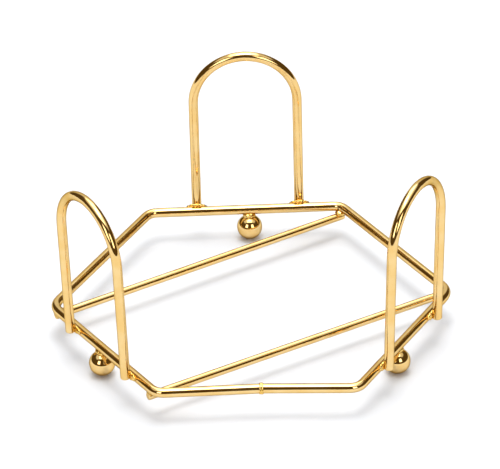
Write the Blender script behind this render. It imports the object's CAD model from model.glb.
import logging
import math
from dataclasses import dataclass, field
from enum import Enum
from typing import Union

import bmesh
import bpy
from mathutils import Matrix, Vector, noise
from mathutils.bvhtree import BVHTree


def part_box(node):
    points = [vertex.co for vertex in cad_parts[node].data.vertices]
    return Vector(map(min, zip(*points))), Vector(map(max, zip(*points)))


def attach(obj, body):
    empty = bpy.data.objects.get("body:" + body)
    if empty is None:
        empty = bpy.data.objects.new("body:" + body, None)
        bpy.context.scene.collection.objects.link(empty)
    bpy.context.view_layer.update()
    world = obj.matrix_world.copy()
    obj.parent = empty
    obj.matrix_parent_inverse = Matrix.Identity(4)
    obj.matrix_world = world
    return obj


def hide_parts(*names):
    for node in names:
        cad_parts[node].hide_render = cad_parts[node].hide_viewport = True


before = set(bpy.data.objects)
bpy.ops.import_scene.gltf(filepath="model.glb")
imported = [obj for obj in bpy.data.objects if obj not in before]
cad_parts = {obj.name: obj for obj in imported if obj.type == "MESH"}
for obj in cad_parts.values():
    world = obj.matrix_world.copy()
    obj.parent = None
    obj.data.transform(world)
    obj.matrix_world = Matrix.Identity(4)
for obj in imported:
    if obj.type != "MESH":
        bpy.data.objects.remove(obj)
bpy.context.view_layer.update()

# The looks of a welded gold wire holder for hexagonal coasters: drawn wire, ball feet and weld
# beads, each rebuilt finely where its CAD solid stands, on a pale sheet under soft light.
# Metres, +Z up.

LOG = logging.getLogger("wire_holder")
MM = 0.001
BODY = "root"
WIRE_UV = "along_the_wire"
WAVE_SEED = 1

Colour = tuple[float, float, float]
Limits = tuple[float, float]
Feed = Union[bpy.types.NodeSocket, float, tuple[float, ...]]


class Finish(Enum):
    """The plated finishes, by the record's material slot."""

    WIRE = "gold_wire"
    BALL = "gold_ball"
    WELD = "gold_weld"


# Where each mark in the plating starts and reaches full strength, on its noise pattern.
HAZE_RISE: Limits = (0.42, 0.72)
TONE_RISE: Limits = (0.30, 0.70)
PIT_EDGE: Limits = (0.62, 0.74)
LINE_RISE: Limits = (0.56, 0.72)
GROOVE_EDGE: Limits = (0.35, 0.68)


# ---------------------------------------------------------------- shader node helpers


class NodeTree:
    """A short way to add nodes and links to one shader tree."""

    def __init__(self, tree: bpy.types.NodeTree) -> None:
        """Keeps the tree.

        Args:
            tree: the shader tree to build in.
        """
        self.tree = tree

    def add(self, kind: str, **settings: object) -> bpy.types.Node:
        """Adds a node.

        Args:
            kind: the node's type name, without the ShaderNode prefix.
            settings: properties of the node, set by name.
        Returns:
            The new node.
        """
        node = self.tree.nodes.new("ShaderNode" + kind)
        for name, value in settings.items():
            setattr(node, name, value)
        return node

    def link(self, source: bpy.types.NodeSocket, target: bpy.types.NodeSocket) -> None:
        """Joins an output to an input."""
        self.tree.links.new(source, target)

    def feed(self, sockets: list[bpy.types.NodeSocket], inputs: tuple[Feed, ...]) -> None:
        """Sets each socket to a plain value, or links it to another socket.

        Args:
            sockets: the sockets to feed, in order.
            inputs: a socket or a plain value for each.
        """
        for slot, given in zip(sockets, inputs):
            if isinstance(given, bpy.types.NodeSocket):
                self.link(given, slot)
            else:
                slot.default_value = given

    def math(self, operation: str, *inputs: Feed) -> bpy.types.NodeSocket:
        """Adds a Math node.

        Args:
            operation: the node's operation.
            inputs: sockets or plain numbers, in order.
        Returns:
            Its output.
        """
        node = self.add("Math", operation=operation)
        self.feed(list(node.inputs), inputs)
        return node.outputs[0]

    def ramp(self, value: bpy.types.NodeSocket, low: float, high: float,
             to_low: float = 0.0, to_high: float = 1.0) -> bpy.types.NodeSocket:
        """Maps a value smoothly from one range to another, and holds it at the ends.

        Args:
            value: the value to map.
            low: where the map starts.
            high: where it ends.
            to_low: the result at or before low.
            to_high: the result at or past high.
        Returns:
            The mapped value.
        """
        node = self.add("MapRange", interpolation_type="SMOOTHSTEP")
        self.feed(list(node.inputs), (value, low, high, to_low, to_high))
        return node.outputs[0]

    def rise(self, angle: bpy.types.NodeSocket, limits: Limits) -> bpy.types.NodeSocket:
        """A mask that goes from 0 to 1 as an angle passes two limits in degrees."""
        return self.ramp(angle, *(math.radians(limit) for limit in limits))

    def fall(self, angle: bpy.types.NodeSocket, limits: Limits) -> bpy.types.NodeSocket:
        """A mask that goes from 1 to 0 as an angle passes two limits in degrees."""
        return self.ramp(angle, *(math.radians(limit) for limit in limits), 1.0, 0.0)

    def mix(self, share: bpy.types.NodeSocket, first: Feed, second: Feed) -> bpy.types.NodeSocket:
        """Mixes two colours.

        Args:
            share: how much of the second colour.
            first: a colour with alpha, or a socket.
            second: a colour with alpha, or a socket.
        Returns:
            The mixed colour.
        """
        node = self.add("Mix", data_type="RGBA")
        self.link(share, node.inputs["Factor"])
        self.feed([s for s in node.inputs if s.type == "RGBA"], (first, second))
        return next(s for s in node.outputs if s.type == "RGBA")

    def noise(self, place: bpy.types.NodeSocket, scale: Feed, detail: float = 3.0,
              roughness: float = 0.5) -> bpy.types.NodeSocket:
        """Adds a Noise Texture.

        Args:
            place: the coordinates.
            scale: cells per metre.
            detail: octaves of finer noise.
            roughness: how strong the finer octaves are.
        Returns:
            Its value, from 0 to 1.
        """
        node = self.add("TexNoise")
        sockets = [node.inputs[name] for name in ("Vector", "Scale", "Detail", "Roughness")]
        self.feed(sockets, (place, scale, detail, roughness))
        return node.outputs["Fac"]


def opaque(colour: Colour) -> tuple[float, float, float, float]:
    """A colour with full alpha."""
    return (*colour, 1.0)


def new_group(name: str, values: tuple[tuple[str, float], ...], outputs: tuple[str, ...],
              ) -> tuple[NodeTree, bpy.types.NodeInputs, bpy.types.NodeInputs]:
    """Makes a shader node group whose inputs and outputs are plain values.

    Args:
        name: the group's name.
        values: each input's name and default.
        outputs: each output's name.
    Returns:
        The group's builder, the values that come in, and the sockets to send results to.
    """
    group = bpy.data.node_groups.new(name, "ShaderNodeTree")
    for label, default in values:
        socket = group.interface.new_socket(label, in_out="INPUT", socket_type="NodeSocketFloat")
        socket.default_value = default
    for label in outputs:
        group.interface.new_socket(label, in_out="OUTPUT", socket_type="NodeSocketFloat")
    given = group.nodes.new("NodeGroupInput").outputs
    results = group.nodes.new("NodeGroupOutput").inputs
    return NodeTree(group), given, results


def plating_group() -> bpy.types.NodeTree:
    """Bright electroplate: cloudy haze, thin and thick patches, and fine pits.

    Returns:
        A group with the outputs Haze, Tone and Height, each from 0 to 1.
    """
    build, given, results = new_group(
        "bright_plating",
        (("Cloud Scale", 260.0), ("Pit Scale", 5200.0)),
        ("Haze", "Tone", "Height"),
    )
    place = build.add("TexCoord").outputs["Object"]
    cloud = build.noise(place, given["Cloud Scale"], detail=4.0)
    pits = build.noise(place, given["Pit Scale"], detail=2.0)
    build.link(build.ramp(cloud, *HAZE_RISE), results["Haze"])
    build.link(build.ramp(cloud, *TONE_RISE), results["Tone"])
    build.link(build.ramp(pits, *PIT_EDGE, 1.0, 0.0), results["Height"])
    return build.tree


def drawing_lines_group() -> bpy.types.NodeTree:
    """Drawing lines: long fine scratches along a wire, left by the die it was pulled through.

    Returns:
        A group with the outputs Line and Height, each from 0 to 1.
    """
    build, given, results = new_group(
        "drawing_lines", (("Round Scale", 95.0), ("Long Scale", 34.0)), ("Line", "Height"),
    )
    uv = build.add("UVMap", uv_map=WIRE_UV)
    parts = build.add("SeparateXYZ")
    build.link(uv.outputs["UV"], parts.inputs[0])
    # The turn round the wire is wrapped on a circle, so that the lines have no seam.
    turn = build.math("MULTIPLY", parts.outputs["X"], math.tau)
    reach = build.math("DIVIDE", given["Round Scale"], math.tau)
    wrapped = build.add("CombineXYZ")
    build.link(build.math("MULTIPLY", build.math("COSINE", turn), reach), wrapped.inputs["X"])
    build.link(build.math("MULTIPLY", build.math("SINE", turn), reach), wrapped.inputs["Y"])
    lengthwise = build.math("MULTIPLY", parts.outputs["Y"], given["Long Scale"])
    build.link(lengthwise, wrapped.inputs["Z"])
    streak = build.noise(wrapped.outputs[0], 1.0, detail=4.0, roughness=0.7)
    build.link(build.ramp(streak, *LINE_RISE), results["Line"])
    build.link(build.ramp(streak, *GROOVE_EDGE, 1.0, 0.0), results["Height"])
    return build.tree


# ---------------------------------------------------------------- finishes


@dataclass(frozen=True)
class GoldFinish:
    """Gold electroplate over steel, with the wear and relief of one kind of surface under it.

    A drawn surface shows drawing lines. Lumps, in cells per metre, is the ripple of weld metal.
    """

    finish: Finish
    bright: Colour
    deep: Colour
    smooth: float
    hazed: float
    cloud_scale: float
    pit_scale: float
    relief: float
    drawn: bool = False
    lumps: float = 0.0
    rim: Colour = (0.40, 0.32, 0.22)
    line_haze: float = 0.6
    ripple_height: float = 4.0
    ripple_haze: Limits = (0.45, 0.65)

    def material(self) -> bpy.types.Material:
        """Builds the finish as a material.

        Returns:
            The material, named for its slot.
        """
        material = bpy.data.materials.new(self.finish.value + "_plate")
        material.use_nodes = True
        build = NodeTree(material.node_tree)
        shader = material.node_tree.nodes["Principled BSDF"]
        shader.inputs["Metallic"].default_value = 1.0
        shader.inputs["Specular Tint"].default_value = opaque(self.rim)
        plating = build.add("Group", node_tree=bpy.data.node_groups["bright_plating"])
        plating.inputs["Cloud Scale"].default_value = self.cloud_scale
        plating.inputs["Pit Scale"].default_value = self.pit_scale
        haze, height = self.worn(build, plating.outputs["Haze"], plating.outputs["Height"])
        tone = build.mix(plating.outputs["Tone"], opaque(self.deep), opaque(self.bright))
        build.link(tone, shader.inputs["Base Color"])
        build.link(build.ramp(haze, 0.0, 1.0, self.smooth, self.hazed), shader.inputs["Roughness"])
        bump = build.add("Bump")
        bump.inputs["Strength"].default_value = 1.0
        bump.inputs["Distance"].default_value = self.relief
        build.link(height, bump.inputs["Height"])
        build.link(bump.outputs["Normal"], shader.inputs["Normal"])
        return material

    def worn(self, build: NodeTree, haze: bpy.types.NodeSocket, height: bpy.types.NodeSocket,
             ) -> tuple[bpy.types.NodeSocket, bpy.types.NodeSocket]:
        """Adds the drawing lines or weld ripple of this surface to the plating's own marks.

        Args:
            build: the material's builder.
            haze: the plating's haze.
            height: the plating's height.
        Returns:
            The haze and height with the marks added.
        """
        if self.drawn:
            lines = build.add("Group", node_tree=bpy.data.node_groups["drawing_lines"])
            dulled = build.math("MULTIPLY", lines.outputs["Line"], self.line_haze)
            haze = build.math("MAXIMUM", haze, dulled)
            height = build.math("ADD", height, lines.outputs["Height"])
        if self.lumps:
            ripple = build.noise(build.add("TexCoord").outputs["Object"], self.lumps, detail=2.0,
                                 roughness=0.55)
            height = build.math("ADD", height, build.math("MULTIPLY", ripple, self.ripple_height))
            haze = build.math("MAXIMUM", haze, build.ramp(ripple, *self.ripple_haze))
        return haze, height


GOLD_BRIGHT = (0.87, 0.62, 0.275)
GOLD_DEEP = (0.84, 0.55, 0.195)
WELD_BRIGHT = (0.89, 0.63, 0.23)
WELD_DEEP = (0.84, 0.50, 0.10)

FINISHES = (
    GoldFinish(Finish.WIRE, GOLD_BRIGHT, GOLD_DEEP, smooth=0.045, hazed=0.13, cloud_scale=210.0,
               pit_scale=5200.0, relief=0.9e-6, drawn=True),
    GoldFinish(Finish.BALL, GOLD_BRIGHT, GOLD_DEEP, smooth=0.035, hazed=0.09, cloud_scale=320.0,
               pit_scale=4300.0, relief=0.8e-6),
    GoldFinish(Finish.WELD, WELD_BRIGHT, WELD_DEEP, smooth=0.12, hazed=0.3, cloud_scale=900.0,
               pit_scale=6000.0, relief=4.0e-6, lumps=1100.0),
)


class PlatingShop:
    """Gives each piece its finished material."""

    def __init__(self) -> None:
        """Builds the shared node groups, then every finish."""
        plating_group()
        drawing_lines_group()
        self.materials = {f.finish: f.material() for f in FINISHES}

    def plate(self, piece: bpy.types.Object, finish: Finish, *nodes: str) -> bpy.types.Object:
        """Gives a piece its finish, its body and the CAD nodes that it stands for.

        Args:
            piece: the piece, in place.
            finish: its finish.
            nodes: the CAD nodes that it replaces.
        Returns:
            The piece.
        """
        piece.data.materials.clear()
        piece.data.materials.append(self.materials[finish])
        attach(piece, BODY)
        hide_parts(*nodes)
        LOG.info("%s: %d vertices, %s", piece.name, len(piece.data.vertices), finish.value)
        return piece


# ---------------------------------------------------------------- mesh helpers


Ring = list[bmesh.types.BMVert]


def smooth_shaded(mesh: bpy.types.Mesh) -> bpy.types.Mesh:
    """Turns smooth shading on for a whole mesh.

    Args:
        mesh: the mesh, changed in place.
    Returns:
        The same mesh.
    """
    for polygon in mesh.polygons:
        polygon.use_smooth = True
    return mesh


def mesh_piece(name: str, bm: bmesh.types.BMesh) -> bpy.types.Object:
    """Turns a finished bmesh into a smooth-shaded object in the scene.

    Args:
        name: the object's name.
        bm: the mesh, in the row frame. It is freed.
    Returns:
        The object.
    """
    bmesh.ops.recalc_face_normals(bm, faces=bm.faces)
    mesh = bpy.data.meshes.new(name)
    bm.to_mesh(mesh)
    bm.free()
    piece = bpy.data.objects.new(name, smooth_shaded(mesh))
    bpy.context.scene.collection.objects.link(piece)
    return piece


def cad_tree(node: str) -> BVHTree:
    """A ray-casting tree of a CAD node's surface."""
    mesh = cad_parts[node].data
    return BVHTree.FromPolygons([v.co for v in mesh.vertices], [p.vertices for p in mesh.polygons])


def cad_nodes(*starts: str) -> list[str]:
    """The CAD nodes whose names start in one of the given ways, in order."""
    return sorted(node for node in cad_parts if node.startswith(starts))


# ---------------------------------------------------------------- wire


@dataclass
class WireTrace:
    """Finds the centreline and radius of a round CAD wire by walking down its inside."""

    node: str
    step: float = 0.5 * MM
    feelers: int = 32
    centring_passes: int = 3
    turning_passes: int = 2
    smoothing_passes: int = 3
    end_squareness: float = 0.95
    radius: float = 0.0
    tree: BVHTree = field(init=False, repr=False)

    def __post_init__(self) -> None:
        """Reads the wire's surface."""
        self.tree = cad_tree(self.node)

    def centre(self, point: Vector, heading: Vector) -> Vector:
        """Moves a point inside the wire to the middle of its section.

        Args:
            point: a point inside the wire.
            heading: the wire's direction there.
        Returns:
            The middle of the section across that direction.
        """
        side = heading.orthogonal().normalized()
        other = heading.cross(side).normalized()
        for _ in range(self.centring_passes):
            hits = []
            for index in range(self.feelers):
                turn = math.tau * index / self.feelers
                feeler = side * math.cos(turn) + other * math.sin(turn)
                hit = self.tree.ray_cast(point, feeler)[0]
                if hit is not None:
                    hits.append(hit)
            point = sum(hits, Vector()) / len(hits)
        self.radius = max(self.radius, min((hit - point).length for hit in hits))
        return point

    def walk(self, start: Vector, heading: Vector) -> list[Vector]:
        """Walks from a point inside the wire to its cut end.

        Args:
            start: where to start, on the centreline.
            heading: which way to go.
        Returns:
            The points passed, and the middle of the cut end.
        """
        points = [start]
        while True:
            hit, normal, _, distance = self.tree.ray_cast(points[-1], heading)
            near = hit is not None and distance < 2 * self.step
            if near and abs(normal.dot(heading)) > self.end_squareness:
                points.append(hit)
                return points
            point = points[-1] + heading * self.step
            for _ in range(self.turning_passes):
                point = self.centre(point, heading)
                heading = (point - points[-1]).normalized()
                point = points[-1] + heading * self.step
            points.append(self.centre(point, heading))

    def path(self, inside: Vector, heading: Vector) -> list[Vector]:
        """Traces the whole wire.

        Args:
            inside: any point inside the wire, away from its ends.
            heading: roughly the wire's direction there.
        Returns:
            The centreline, from one cut end to the other.
        """
        middle = self.centre(inside, heading)
        near = self.centre(middle + heading * self.step, heading)
        heading = (near - middle).normalized()
        back = self.walk(middle, -heading)
        points = back[:0:-1] + self.walk(middle, heading)
        for _ in range(self.smoothing_passes):
            inner = [(a + b * 2 + c) / 4 for a, b, c in zip(points, points[1:], points[2:])]
            points = [points[0], *inner, points[-1]]
        return points


@dataclass(frozen=True)
class Station:
    """One round section of a wire: its centre, direction, radius and distance along the wire."""

    centre: Vector
    heading: Vector
    radius: float
    along: float


@dataclass
class Wire:
    """A length of drawn wire, swept finely along its centreline and closed by two sheared ends."""

    name: str
    path: list[Vector]
    radius: float
    around: int = 48
    end_round: float = 0.35 * MM
    end_rings: int = 5
    end_clearance: float = 1.05
    dish: float = 0.06 * MM
    waviness: float = 0.004 * MM
    wave_length: float = 9.0 * MM
    seed: float = 0.0

    def stations(self) -> list[Station]:
        """Places the sections that the wire is swept through.

        Returns:
            The sections, from one rounded end to the other.
        """
        along = 0.0
        places = []
        last = len(self.path) - 1
        for index, point in enumerate(self.path):
            before = self.path[max(index - 1, 0)]
            after = self.path[min(index + 1, last)]
            if index:
                along += (point - before).length
            places.append(Station(point, (after - before).normalized(), self.radius, along))
        margin = self.end_round * self.end_clearance
        inner = [place for place in places if margin < place.along < along - margin]
        return self.rounded_end(places[0], 1) + inner + self.rounded_end(places[-1], -1)[::-1]

    def rounded_end(self, tip: Station, inward: int) -> list[Station]:
        """Rounds off a cut end.

        Args:
            tip: the middle of the cut end.
            inward: 1 if the wire's direction leads into the wire there, or -1.
        Returns:
            The sections from the tip inwards.
        """
        sections = []
        for ring in range(self.end_rings, -1, -1):
            angle = math.pi / 2 * ring / self.end_rings
            depth = self.end_round * (1 - math.sin(angle)) * inward
            radius = self.radius - self.end_round * (1 - math.cos(angle))
            middle = tip.centre + tip.heading * depth
            sections.append(Station(middle, tip.heading, radius, tip.along + depth))
        return sections

    def mesh(self) -> bmesh.types.BMesh:
        """Sweeps the wire.

        Returns:
            Its closed mesh, with a UV of the turn round the wire and the metres along it.
        """
        bm = bmesh.new()
        uv = bm.loops.layers.uv.new(WIRE_UV)
        stations = self.stations()
        side = stations[0].heading.orthogonal().normalized()
        rings = []
        for station in stations:
            side = (side - station.heading * side.dot(station.heading)).normalized()
            rings.append(self.ring(bm, station, side))
        for place, following, ring, next_ring in zip(stations, stations[1:], rings, rings[1:]):
            for index in range(self.around):
                wrap = (index + 1) % self.around
                face = bm.faces.new((ring[index], ring[wrap], next_ring[wrap], next_ring[index]))
                turns = (index, index + 1, index + 1, index)
                distances = (place.along, place.along, following.along, following.along)
                for loop, turn, distance in zip(face.loops, turns, distances):
                    loop[uv].uv = (turn / self.around, distance)
        self.cap(bm, uv, rings[0], stations[0], 1)
        self.cap(bm, uv, rings[-1], stations[-1], -1)
        return bm

    def ring(self, bm: bmesh.types.BMesh, station: Station, side: Vector) -> Ring:
        """Adds the vertices of one section, moved a little by the wire's slight waviness.

        Args:
            bm: the mesh.
            station: the section.
            side: the direction of its first vertex.
        Returns:
            The vertices, in order round the section.
        """
        other = station.heading.cross(side)
        wave = noise.noise_vector(Vector((station.along / self.wave_length, self.seed, 0.0)))
        middle = station.centre + wave * self.waviness
        ring = []
        for index in range(self.around):
            turn = math.tau * index / self.around
            outward = side * math.cos(turn) + other * math.sin(turn)
            ring.append(bm.verts.new(middle + outward * station.radius))
        return ring

    def cap(self, bm: bmesh.types.BMesh, uv: bmesh.types.BMLayerItem, ring: Ring, station: Station,
            inward: int) -> None:
        """Closes an end with a face that the shears left slightly dished.

        Args:
            bm: the mesh.
            uv: its UV layer.
            ring: the end's last ring of vertices.
            station: the end's section.
            inward: 1 if the wire's direction leads into the wire there, or -1.
        """
        middle = sum((vertex.co for vertex in ring), Vector()) / self.around
        hub = bm.verts.new(middle + station.heading * inward * self.dish)
        for index in range(self.around):
            face = bm.faces.new((ring[index], ring[(index + 1) % self.around], hub))
            for loop in face.loops:
                loop[uv].uv = (index / self.around, station.along)

    def build(self) -> bpy.types.Object:
        """Makes the piece."""
        return mesh_piece(self.name, self.mesh())


@dataclass
class WireFrame:
    """Every wire of the holder: the ring, the arches and the rods."""

    shop: PlatingShop
    seed_step: float = 7.3

    def stock_radius(self) -> float:
        """The radius of the ring and arch wire, from the ring's height."""
        low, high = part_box("base_ring")
        return (high.z - low.z) / 2

    def seed_point(self, node: str) -> tuple[Vector, Vector]:
        """A point inside a wire and its direction there, read from the wire's box.

        Args:
            node: the CAD node.
        Returns:
            The point and the direction.
        """
        low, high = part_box(node)
        point = (low + high) / 2
        if node.startswith("arch_"):
            point.z = high.z - self.stock_radius()
        if node == "base_ring":
            point.y = high.y - self.stock_radius()
        if node in ("base_ring", "arch_back"):
            return point, Vector((1, 0, 0))
        # The left arch runs to the front as it goes right. The right arch and the rods run back.
        slope = -1 if node == "arch_left" else 1
        return point, Vector((high.x - low.x, slope * (high.y - low.y), 0)).normalized()

    def build(self) -> None:
        """Traces, sweeps and plates every wire."""
        for index, node in enumerate(cad_nodes("arch_", "base_ring", "cross_rod_")):
            trace = WireTrace(node)
            path = trace.path(*self.seed_point(node))
            wire = Wire(node + "_wire", path, trace.radius, seed=self.seed_step * index)
            self.shop.plate(wire.build(), Finish.WIRE, node)
            length = sum((after - before).length for before, after in zip(path, path[1:]))
            LOG.info("%s: radius %.3f mm, length %.1f mm", node, trace.radius / MM, length / MM)


# ---------------------------------------------------------------- feet


@dataclass
class BallFeet:
    """The ground and plated balls that the holder stands on."""

    shop: PlatingShop
    around: int = 96
    down: int = 64
    collar: float = 0.05 * MM
    collar_angle: float = 24.0
    collar_spread: float = 5.0
    worn_flat: float = 0.5 * MM

    def build(self) -> None:
        """Lathes and plates each ball."""
        for node in cad_nodes("foot_ball_"):
            low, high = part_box(node)
            bm = self.lathe((low + high) / 2, (high.z - low.z) / 2)
            self.shop.plate(mesh_piece(node + "_polished", bm), Finish.BALL, node)

    def lathe(self, centre: Vector, radius: float) -> bmesh.types.BMesh:
        """Turns a ball with a faint upset collar under its weld and a small worn flat to stand on.

        Args:
            centre: the ball's centre.
            radius: its radius.
        Returns:
            The closed mesh.
        """
        bm = bmesh.new()
        flat_height = math.sqrt(radius ** 2 - self.worn_flat ** 2)
        rings = []
        for row in range(1, self.down):
            polar = math.pi * row / self.down
            off_collar = (math.degrees(polar) - self.collar_angle) / self.collar_spread
            swollen = radius + math.exp(-off_collar ** 2) * self.collar
            across = swollen * math.sin(polar)
            height = max(swollen * math.cos(polar), -flat_height)
            ring = []
            for column in range(self.around):
                turn = math.tau * column / self.around
                place = Vector((across * math.cos(turn), across * math.sin(turn), height))
                ring.append(bm.verts.new(centre + place))
            rings.append(ring)
        for ring, following in zip(rings, rings[1:]):
            for column in range(self.around):
                wrap = (column + 1) % self.around
                bm.faces.new((ring[column], ring[wrap], following[wrap], following[column]))
        for ring, height in ((rings[0], radius), (rings[-1], -flat_height)):
            pole = bm.verts.new(centre + Vector((0, 0, height)))
            for column in range(self.around):
                bm.faces.new((ring[column], ring[(column + 1) % self.around], pole))
        return bm


# ---------------------------------------------------------------- welds


@dataclass
class WeldBeads:
    """The weld nuggets, each remeshed from its CAD solid and made lumpy like squeezed-out metal."""

    shop: PlatingShop
    voxel: float = 0.14 * MM
    softening_passes: int = 4
    softening: float = 0.5
    same_point: float = 0.0001 * MM
    lump_size: float = 0.75 * MM
    lump_height: float = 0.16 * MM
    grain_size: float = 0.28 * MM
    grain_height: float = 0.04 * MM
    pattern_step: tuple[float, float] = (13.7, 5.1)
    pattern_level: float = 2.9

    def build(self) -> None:
        """Makes and plates every nugget."""
        step_x, step_y = self.pattern_step
        nodes = cad_nodes("foot_weld_", "leg_weld_", "ring_seam_weld", "rod_weld_")
        for index, node in enumerate(nodes):
            piece = self.remeshed(node)
            self.roughen(piece.data, Vector((step_x * index, step_y * index, self.pattern_level)))
            self.shop.plate(piece, Finish.WELD, node)

    def remeshed(self, node: str) -> bpy.types.Object:
        """A copy of a CAD nugget in small even faces.

        Args:
            node: the CAD node.
        Returns:
            The new piece.
        """
        bm = bmesh.new()
        bm.from_mesh(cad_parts[node].data)
        bmesh.ops.remove_doubles(bm, verts=bm.verts, dist=self.same_point)
        bead = mesh_piece(node + "_bead", bm)
        remesh = bead.modifiers.new("even", "REMESH")
        remesh.mode = "VOXEL"
        remesh.voxel_size = self.voxel
        soften = bead.modifiers.new("soften", "SMOOTH")
        soften.iterations = self.softening_passes
        soften.factor = self.softening
        graph = bpy.context.evaluated_depsgraph_get()
        mesh = bpy.data.meshes.new_from_object(bead.evaluated_get(graph))
        bead.modifiers.clear()
        bead.data = smooth_shaded(mesh)
        return bead

    def roughen(self, mesh: bpy.types.Mesh, offset: Vector) -> None:
        """Raises lumps and grain on a nugget.

        Args:
            mesh: the nugget's mesh, changed in place.
            offset: moves the pattern, so that each nugget differs.
        """
        normals = [vertex.normal.copy() for vertex in mesh.vertices]
        for vertex, normal in zip(mesh.vertices, normals):
            lump = noise.noise(vertex.co / self.lump_size + offset)
            grain = noise.noise(vertex.co / self.grain_size + offset)
            vertex.co += normal * (lump * self.lump_height + grain * self.grain_height)
        mesh.update()


# ---------------------------------------------------------------- stage


@dataclass
class PaperFloor:
    """A matt white sheet with the faintest unevenness."""

    half: float = 3.0
    squares: int = 8
    mottle_scale: float = 9.0
    darker: Colour = (0.76, 0.765, 0.775)
    paler: Colour = (0.785, 0.79, 0.80)
    roughness: float = 0.95
    shine: float = 0.1

    def build(self) -> None:
        """Lays the sheet under the holder."""
        bm = bmesh.new()
        bmesh.ops.create_grid(bm, x_segments=self.squares, y_segments=self.squares, size=self.half)
        sheet = mesh_piece("floor_sheet", bm)
        material = bpy.data.materials.new("floor_paper")
        material.use_nodes = True
        build = NodeTree(material.node_tree)
        shader = material.node_tree.nodes["Principled BSDF"]
        shader.inputs["Roughness"].default_value = self.roughness
        shader.inputs["Specular IOR Level"].default_value = self.shine
        place = build.add("TexCoord").outputs["Object"]
        mottle = build.noise(place, self.mottle_scale, roughness=0.55)
        paper = build.mix(mottle, opaque(self.darker), opaque(self.paler))
        build.link(paper, shader.inputs["Base Color"])
        sheet.data.materials.append(material)
        LOG.info("floor laid")


@dataclass
class StudioRoom:
    """The room that the metal reflects.

    A soft box hangs overhead. The walls are pale high up and behind, and dark elsewhere, with two
    lit panels in front. Limits are angles in degrees.
    """

    box_front: Limits = (19.0, 28.0)
    box_back: Limits = (-50.0, -42.0)
    box_side: Limits = (18.0, 26.0)
    wall_top: Limits = (39.0, 49.0)
    back_gap: Limits = (146.0, 162.0)
    panel_middles: tuple[float, ...] = (-31.0, 29.0)
    panel_half: Limits = (10.0, 14.0)
    panel_foot: Limits = (13.0, 18.0)
    panel_head: Limits = (40.0, 46.0)
    dark_wall: Colour = (0.10, 0.065, 0.022)
    pale_wall: Colour = (0.86, 0.85, 0.83)
    soft_box: Colour = (3.2, 3.15, 3.05)
    dark_fill: Colour = (0.26, 0.275, 0.31)
    pale_fill: Colour = (0.90, 0.93, 0.98)
    box_fill: Colour = (3.0, 3.1, 3.25)
    backdrop: Colour = (1.0, 1.0, 1.0)

    def build(self) -> None:
        """Makes the world."""
        world = bpy.data.worlds.new("studio")
        bpy.context.scene.world = world
        world.use_nodes = True
        build = NodeTree(world.node_tree)
        background = world.node_tree.nodes["Background"]
        walls, lit = self.masks(build)
        seen = build.mix(walls, opaque(self.dark_wall), opaque(self.pale_wall))
        seen = build.mix(lit, seen, opaque(self.soft_box))
        # What falls on the floor has hardly any colour of its own, so the shadows stay grey.
        fill = build.mix(walls, opaque(self.dark_fill), opaque(self.pale_fill))
        fill = build.mix(lit, fill, opaque(self.box_fill))
        path = build.add("LightPath").outputs
        colour = build.mix(path["Is Diffuse Ray"], seen, fill)
        shown = build.mix(path["Is Camera Ray"], colour, opaque(self.backdrop))
        build.link(shown, background.inputs["Color"])
        background.inputs["Strength"].default_value = 1.0
        LOG.info("studio room lit")

    def masks(self, build: NodeTree) -> tuple[bpy.types.NodeSocket, bpy.types.NodeSocket]:
        """Works out what lies in each direction.

        Args:
            build: the world's builder.
        Returns:
            The masks of the pale walls, and of the soft box and panels together.
        """
        parts = build.add("SeparateXYZ")
        build.link(build.add("TexCoord").outputs["Generated"], parts.inputs[0])
        x, y, z = parts.outputs
        front = build.math("MULTIPLY", y, -1.0)
        # The lean to the front from straight up, the height above level, the turn from the front.
        lean = build.math("ARCTAN2", front, z)
        height = build.math("ARCSINE", z)
        turn = build.math("ARCTAN2", x, front)
        sideways = build.math("ABSOLUTE", build.math("ARCTAN2", x, z))
        before = build.fall(lean, self.box_front)
        above = build.rise(height, self.wall_top)
        behind = build.rise(build.math("ABSOLUTE", turn), self.back_gap)
        walls = build.math("MULTIPLY", before, build.math("MAXIMUM", above, behind))
        wide = build.fall(sideways, self.box_side)
        deep = build.rise(lean, self.box_back)
        box = build.math("MULTIPLY", build.math("MULTIPLY", wide, deep), before)
        left, right = (self.panel(build, turn, middle) for middle in self.panel_middles)
        upright = build.math(
            "MULTIPLY", build.rise(height, self.panel_foot), build.fall(height, self.panel_head)
        )
        panels = build.math("MULTIPLY", build.math("MAXIMUM", left, right), upright)
        return walls, build.math("MAXIMUM", box, panels)

    def panel(self, build: NodeTree, turn: bpy.types.NodeSocket, middle: float,
              ) -> bpy.types.NodeSocket:
        """The mask of one upright panel, at any height.

        Args:
            build: the world's builder.
            turn: the turn from the front.
            middle: the turn to the panel's middle, in degrees.
        Returns:
            The mask.
        """
        away = build.math("ABSOLUTE", build.math("SUBTRACT", turn, math.radians(middle)))
        return build.fall(away, self.panel_half)


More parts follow.
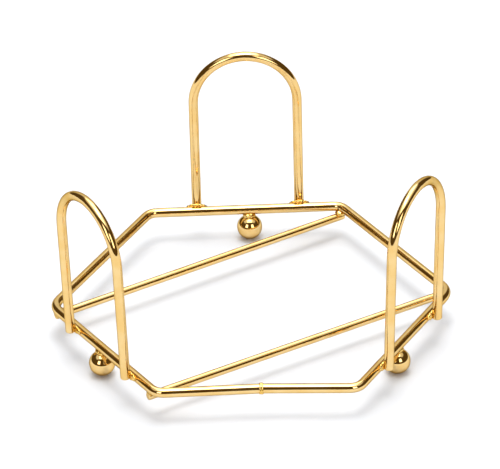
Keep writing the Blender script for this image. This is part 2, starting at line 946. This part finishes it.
@dataclass
class OverheadLamp:
    """A broad lamp straight overhead, which draws the faint shadows under the wires."""

    strength: float = 0.75
    tint: Colour = (0.98, 0.99, 1.0)
    breadth: float = 22.0

    def build(self) -> None:
        """Hangs the lamp."""
        lamp = bpy.data.lights.new("overhead", "SUN")
        lamp.energy = self.strength
        lamp.color = self.tint
        lamp.angle = math.radians(self.breadth)
        bpy.context.scene.collection.objects.link(bpy.data.objects.new("overhead", lamp))
        LOG.info("overhead lamp hung")


@dataclass
class LongLensView:
    """A long lens that looks down at the holder from an orbit round its aim point, in degrees."""

    azimuth: float = -1.13
    elevation: float = 30.93
    roll: float = -1.56
    distance: float = 1.3
    aim: tuple[float, float, float] = (0.0004, 0.0099, 0.0267)
    lens: float = 304.4
    reach: float = 20.0

    def build(self) -> None:
        """Places the camera."""
        azimuth, elevation, roll = map(math.radians, (self.azimuth, self.elevation, self.roll))
        ahead = Vector((
            -math.sin(azimuth) * math.cos(elevation),
            math.cos(azimuth) * math.cos(elevation),
            -math.sin(elevation),
        ))
        level = ahead.cross(Vector((0, 0, 1))).normalized()
        upward = level.cross(ahead)
        right = level * math.cos(roll) + upward * math.sin(roll)
        up = upward * math.cos(roll) - level * math.sin(roll)
        data = bpy.data.cameras.new("view")
        data.lens = self.lens
        data.clip_end = self.reach
        camera = bpy.data.objects.new("view", data)
        place = Matrix((right, up, -ahead)).transposed().to_4x4()
        place.translation = Vector(self.aim) - ahead * self.distance
        camera.matrix_world = place
        bpy.context.scene.collection.objects.link(camera)
        bpy.context.scene.camera = camera
        LOG.info("camera placed")


def main() -> None:
    """Builds the holder piece by piece, then the stage."""
    logging.basicConfig(level=logging.INFO, format="%(name)s %(message)s")
    # Without a seed the wires' waviness would differ a little from one run to the next.
    noise.seed_set(WAVE_SEED)
    shop = PlatingShop()
    for assembly in (WireFrame(shop), BallFeet(shop), WeldBeads(shop)):
        assembly.build()
    for fitting in (PaperFloor(), StudioRoom(), OverheadLamp(), LongLensView()):
        fitting.build()
    bpy.context.scene.view_settings.view_transform = "Standard"


if __name__ == "__main__":
    main()
